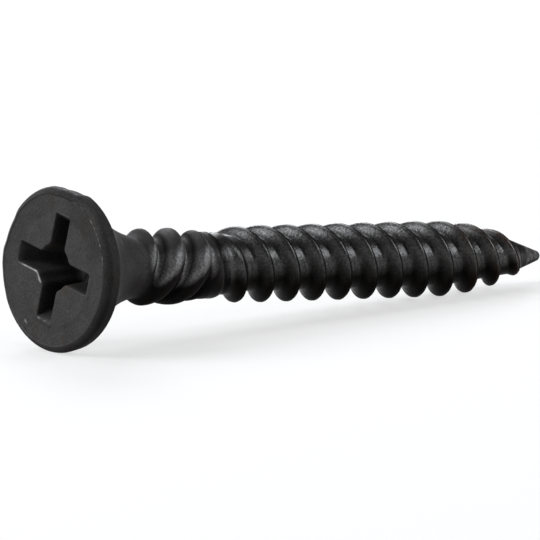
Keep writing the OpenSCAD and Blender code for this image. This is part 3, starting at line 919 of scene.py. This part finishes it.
def phosphated_steel(looks):
    """Steel with a crystalline manganese phosphate coat, dipped and oiled after forging and rolling.

    The coat gives a dark, faintly warm grey with a fine sparkle of grain. Rolling has left a denser, oiled
    and so darker and glossier skin on the threads.
    """
    material = bpy.data.materials.new("phosphated forged steel")
    material.use_nodes = True
    tree = material.node_tree
    tree.nodes.clear()
    place = add(tree, "ShaderNodeTexCoord", out="Object")
    coat = {name: add(tree, "ShaderNodeAttribute", out="Fac", attribute_name=name) for name in FORGED_COAT}

    # Stains of 1.5 mm, clouds of 0.9 mm, flecks of 0.3 mm and grain of 0.1 mm, drawn coarse so that it shows
    blotch = add(tree, NOISE, {"Vector": place, "Scale": 1 / (1.5 * MM), "Detail": 4.0})
    cloud = add(tree, NOISE, {"Vector": place, "Scale": 1 / (0.9 * MM), "Detail": 3.0})
    fleck = add(tree, NOISE, {"Vector": place, "Scale": 1 / (0.3 * MM), "Detail": 3.0})
    grain = add(tree, NOISE, {"Vector": place, "Scale": 1 / (0.1 * MM), "Detail": 2.0})
    stain = add(tree, RAMP, {"Value": blotch, "From Min": 0.57, "From Max": 0.8})
    base = add(tree, MIX, {"Factor": stain, "A": looks.forged, "B": looks.khaki}, **COLOURS)
    base = add(tree, MIX, {"Factor": coat["rolled"], "A": base, "B": looks.rolled}, **COLOURS)
    middle = {"From Min": 0.3, "From Max": 0.7}
    light = add(tree, RAMP, {"Value": grain, "To Min": 0.87, "To Max": 1.13, **middle})
    cloud = add(tree, RAMP, {"Value": cloud, "To Min": 0.86, "To Max": 1.14, **middle})
    light = add(tree, MATHS, {0: light, 1: cloud}, operation="MULTIPLY")
    # Painted shade in the rolling seam and in the slanting groove
    dark = add(tree, RAMP, {"Value": coat["groove"], "To Min": 1.0, "To Max": 0.3})

    # Painted shadow on the lee side of a crest, which draws a thin dark line along each crest
    lee_from = add(tree, MATHS, {0: coat["crest_edge"], 1: -0.075}, operation="ADD")
    lee_to = add(tree, MATHS, {0: coat["crest_edge"], 1: -0.035}, operation="ADD")
    past = add(tree, RAMP, {"Value": coat["across"], "From Min": lee_from, "From Max": lee_to}, **EASED)
    before = add(tree, RAMP, {"Value": coat["across"], "From Min": 0.24, "From Max": 0.15}, **EASED)
    lee = add(tree, MATHS, {0: past, 1: before}, operation="MULTIPLY")
    painted_crest_shadow = add(tree, RAMP, {"Value": lee, "To Min": 1.0, "To Max": 0.1})
    for tone in (light, dark, painted_crest_shadow):
        base = add(tree, MIX, {"Factor": 1.0, "A": base, "B": tone}, **COLOURS, blend_type="MULTIPLY")

    # Brown tint where the coat is thin, on the last crests before the point
    along = add(tree, "ShaderNodeSeparateXYZ", {"Vector": place}, out="X")
    last = add(tree, RAMP, {"Value": along, "From Min": 8.0 * MM, "From Max": 12.0 * MM})
    edge = add(tree, RAMP, {"Value": coat["crest"], "From Min": 0.35, "From Max": 0.95})
    brown = add(tree, RAMP, {"Value": blotch, "From Min": 0.4, "From Max": 0.6})
    for part in (edge, last, 0.55):
        brown = add(tree, MATHS, {0: brown, 1: part}, operation="MULTIPLY")

    # Painted light makes the top of the short thread paler, and dust lies thinly all over it
    normal = add(tree, "ShaderNodeTexCoord", out="Normal")
    upward = add(tree, "ShaderNodeSeparateXYZ", {"Vector": normal}, out="Z")
    # Painted light: the upward side is made paler
    painted_top_light = add(tree, RAMP, {"Value": upward, "From Min": 0.42, "From Max": 0.72}, **EASED)
    painted_top_light = add(tree, MATHS, {0: painted_top_light, 1: coat["dust_and_top_light"]}, operation="MULTIPLY")
    thin = add(tree, MATHS, {0: coat["dust_and_top_light"], 1: 0.2}, operation="MULTIPLY")
    top_light_and_dust = add(tree, MATHS, {0: painted_top_light, 1: 0.7, 2: thin}, operation="MULTIPLY_ADD")
    for amount, tint in ((brown, looks.rust), (top_light_and_dust, looks.forged)):
        base = add(tree, MIX, {"Factor": amount, "A": base, "B": tint}, **COLOURS)

    # Painted shade in the recess, on the rim and in a band in the roots of the threads, and darker patches on
    # the outer face
    painted_shade_and_tone = add(tree, RAMP, {"Value": coat["soot"], "To Min": 1.0, "To Max": 0.2})
    base = add(tree, MIX, {"Factor": 1.0, "A": base, "B": painted_shade_and_tone}, **COLOURS, blend_type="MULTIPLY")

    # Rolled skin is glossy; its reflection is cut where shade is painted, on the downward side as painted
    # shade under the screw, and where the top of the short thread is painted paler
    oiled = add(tree, RAMP, {"Value": coat["worked"], "To Min": 0.3, "To Max": 1.2}, clamp=False)
    sparkle = add(
        tree, RAMP, {"Value": grain, "From Min": 0.35, "From Max": 0.65, "To Min": 0.6, "To Max": 1.4}
    )
    for part in (painted_shade_and_tone, painted_crest_shadow, dark, sparkle):
        oiled = add(tree, MATHS, {0: oiled, 1: part}, operation="MULTIPLY")
    dulled_from = add(tree, RAMP, {"Value": coat["dust_and_top_light"], "To Min": -0.5, "To Max": -0.2})
    dulled_to = add(tree, RAMP, {"Value": coat["dust_and_top_light"], "To Min": 0.42, "To Max": 0.25})
    # Painted shade: reflection nearly gone on the downward side
    gloss = add(
        tree, RAMP,
        {"Value": upward, "From Min": dulled_from, "From Max": dulled_to, "To Min": 0.015, "To Max": oiled},
        **EASED,
    )
    # No reflection where the top is painted paler
    gloss_off_lit_top = add(tree, RAMP, {"Value": painted_top_light, "To Min": 1.0, "To Max": 0.03})
    gloss = add(tree, MATHS, {0: gloss, 1: gloss_off_lit_top}, operation="MULTIPLY")

    # Coat worn through in flecks, which shows the bare steel as thin bright lines and specks
    fleck = add(tree, MATHS, {0: fleck, 1: coat["worn"]}, operation="ADD")
    fleck = add(tree, RAMP, {"Value": fleck, "From Min": 1.15, "From Max": 1.6})
    base = add(tree, MIX, {"Factor": fleck, "A": base, "B": looks.bare}, **COLOURS)

    # Roughness is uneven in blotches where the steel is forged, and in the grain where it is rolled
    forged_rough = add(tree, RAMP, {"Value": blotch, "To Min": 0.48, "To Max": 0.64})
    rolled_rough = add(tree, RAMP, {"Value": grain, "To Min": 0.28, "To Max": 0.42})
    rough = add(
        tree, MIX, {"Factor": coat["rolled"], "A": forged_rough, "B": rolled_rough},
        out="Result", data_type="FLOAT",
    )
    rough = add(tree, MATHS, {0: coat["dust_and_top_light"], 1: 0.2, 2: rough}, operation="MULTIPLY_ADD")
    rise = add(tree, RAMP, {"Value": coat["worked"], "To Min": 0.006 * MM, "To Max": 0.016 * MM})
    bumps = add(tree, "ShaderNodeBump", {"Height": grain, "Strength": 0.8, "Distance": rise}, out="Normal")
    shader = add(
        tree, "ShaderNodeBsdfPrincipled",
        {"Base Color": base, "Roughness": rough, "Normal": bumps, "Metallic": 0.0, "IOR": 1.45,
         "Specular IOR Level": gloss},
    )
    add(tree, "ShaderNodeOutputMaterial", {"Surface": shader})
    return material


class OBJECT_OT_make_drywall_screw(Operator):
    """Make the screw: head and recess, both rolled threads and the point, as one closed mesh"""

    bl_idname = "object.make_drywall_screw"
    bl_label = "Make Drywall Screw"

    def execute(self, context):
        settings = context.scene.drywall_screw
        head, counter, main, mesh = settings.head, settings.counter, settings.main, settings.mesh
        angles = turns(mesh.columns, head)
        material = phosphated_steel(settings.finish)
        tree = rolled_thread_tree(material)

        head_mesh, neck_z = head_part(head, angles)
        join_z = neck_z + counter.length
        point_z = head.length - main.bare_len + main.fade_lean + main.fade_len / 2
        parts = [head_mesh]
        for values, high_z in (
            (counter_values(head, counter, main, mesh.lip_h, neck_z, join_z), join_z),
            (main_values(head, main, mesh.lip_h, join_z, point_z), point_z),
        ):
            lattice = helix_lattice(values, high_z, mesh.rows, angles)
            parts.append(roll(lattice, tree, values))
        parts.append(point_part(head, main, point_z, angles))

        screw_mesh = joined("screw_visual", parts)
        screw_mesh.transform(lying_place())
        screw_mesh.materials.clear()
        screw_mesh.materials.append(material)
        screw = bpy.data.objects.new("screw_visual", screw_mesh)
        context.scene.collection.objects.link(screw)
        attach(screw, "root")
        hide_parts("screw")
        return {"FINISHED"}


def floor_paper(stage):
    """Matte white card, a plain pale ground that keeps the screw's shadow."""
    material = bpy.data.materials.new("matte white card")
    material.use_nodes = True
    tree = material.node_tree
    tree.nodes.clear()
    paths = add(tree, "ShaderNodeLightPath", out="Is Camera Ray").node
    seen = paths.outputs["Is Camera Ray"]
    for kind in ("Is Glossy Ray", "Is Transmission Ray"):
        seen = add(tree, MATHS, {0: seen, 1: paths.outputs[kind]}, operation="MAXIMUM")
    glow = add(tree, MATHS, {0: seen, 1: stage.glow}, operation="MULTIPLY")
    shader = add(
        tree, "ShaderNodeBsdfPrincipled",
        {"Base Color": stage.floor, "Roughness": 0.9, "Specular IOR Level": 0.2,
         "Emission Color": (1, 1, 1, 1), "Emission Strength": glow},
    )
    add(tree, "ShaderNodeOutputMaterial", {"Surface": shader})
    return material


def softbox(name, place, width, height, brightness):
    """A soft lamp that faces the screw, upright where it stands aside, as bright all over as asked for."""
    lamp = bpy.data.lights.new(name, "AREA")
    lamp.shape = "RECTANGLE"
    lamp.size = width
    lamp.size_y = height
    lamp.energy = brightness * math.pi * width * height
    lamp.color = (0.95, 0.97, 1.0)
    holder = bpy.data.objects.new(name, lamp)
    holder.location = place
    holder.rotation_euler = (-Vector(place)).to_track_quat("-Z", "Y").to_euler()
    bpy.context.scene.collection.objects.link(holder)


def floor_mesh(material):
    """A round floor that curls up at its rim."""
    body = bmesh.new()
    angles = np.radians(np.arange(0, 360, 5))
    rows = []
    for r, z in FLOOR_PROFILE:
        rows.append([body.verts.new((r * math.cos(a), r * math.sin(a), z)) for a in angles])
    middle = body.verts.new((0, 0, 0))
    for k in range(len(angles)):
        n = (k + 1) % len(angles)
        body.faces.new((middle, rows[0][k], rows[0][n]))
        for low, high in zip(rows, rows[1:]):
            body.faces.new((low[k], high[k], high[n], low[n]))
    made = bpy.data.meshes.new("floor")
    body.to_mesh(made)
    body.free()
    made.polygons.foreach_set("use_smooth", [True] * len(made.polygons))
    made.materials.append(material)
    return made


class OBJECT_OT_make_screw_stage(Operator):
    """Make the stage: pale floor, soft lamps, world and camera"""

    bl_idname = "object.make_screw_stage"
    bl_label = "Make Screw Stage"

    def execute(self, context):
        stage = context.scene.drywall_screw.stage
        floor = bpy.data.objects.new("floor", floor_mesh(floor_paper(stage)))
        context.scene.collection.objects.link(floor)

        aim = Vector((stage.aim_x, stage.aim_y, stage.aim_z))
        level = math.cos(stage.elevation)
        back = Vector((
            math.sin(stage.azimuth) * level, -math.cos(stage.azimuth) * level, math.sin(stage.elevation)
        ))
        lens = bpy.data.cameras.new("camera")
        lens.lens = stage.lens
        lens.clip_start = 0.01
        lens.clip_end = 10
        camera = bpy.data.objects.new("camera", lens)
        right = Vector((0, 0, 1)).cross(back).normalized()
        up = back.cross(right)
        frame_turn = Matrix((right, up, back)).transposed() @ Matrix.Rotation(stage.roll, 3, "Z")
        camera.matrix_world = Matrix.Translation(aim + back * stage.distance) @ frame_turn.to_4x4()
        context.scene.collection.objects.link(camera)
        context.scene.camera = camera

        for name, (place, width, height, brightness) in SOFTBOXES.items():
            softbox(name, place, width, height, brightness)

        world = bpy.data.worlds.new("dim studio")
        world.use_nodes = True
        background = world.node_tree.nodes["Background"]
        background.inputs["Color"].default_value = (1, 1, 1, 1)
        background.inputs["Strength"].default_value = stage.world
        context.scene.world = world
        context.scene.view_settings.view_transform = "Standard"
        return {"FINISHED"}


class ScrewSettings(PropertyGroup):
    """All settings of the screw and its stage."""

    head: PointerProperty(name="Head", description="Head, recess and neck", type=HeadSizes)
    counter: PointerProperty(name="Counter Thread", description="Left-hand thread", type=CounterThreadSizes)
    main: PointerProperty(name="Main Thread", description="Right-hand thread and point", type=MainThreadSizes)
    mesh: PointerProperty(name="Mesh", description="Density and seam lips", type=MeshSizes)
    finish: PointerProperty(name="Finish", description="Colours of the coat", type=FinishLooks)
    stage: PointerProperty(name="Stage", description="Floor, lamps and camera", type=StageSettings)


class VIEW3D_PT_drywall_screw(Panel):
    """Sidebar panel with the screw's settings and operators."""

    bl_label = "Drywall Screw"
    bl_idname = "VIEW3D_PT_drywall_screw"
    bl_space_type = "VIEW_3D"
    bl_region_type = "UI"
    bl_category = "Screw"

    def draw(self, context):
        settings = context.scene.drywall_screw
        for name in ("head", "counter", "main", "mesh", "finish", "stage"):
            group = getattr(settings, name)
            box = self.layout.box()
            box.label(text=ScrewSettings.bl_rna.properties[name].name)
            for key in group.__annotations__:
                box.prop(group, key)
        self.layout.operator(OBJECT_OT_make_drywall_screw.bl_idname)
        self.layout.operator(OBJECT_OT_make_screw_stage.bl_idname)


CLASSES = (
    HeadSizes,
    CounterThreadSizes,
    MainThreadSizes,
    MeshSizes,
    FinishLooks,
    StageSettings,
    ScrewSettings,
    OBJECT_OT_make_drywall_screw,
    OBJECT_OT_make_screw_stage,
    VIEW3D_PT_drywall_screw,
)


def register():
    for cls in CLASSES:
        bpy.utils.register_class(cls)
    bpy.types.Scene.drywall_screw = PointerProperty(type=ScrewSettings)


def unregister():
    del bpy.types.Scene.drywall_screw
    for cls in reversed(CLASSES):
        bpy.utils.unregister_class(cls)


def main():
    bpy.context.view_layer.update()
    register()
    bpy.ops.object.make_drywall_screw()
    bpy.ops.object.make_screw_stage()
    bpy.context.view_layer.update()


if __name__ == "__main__":
    main()
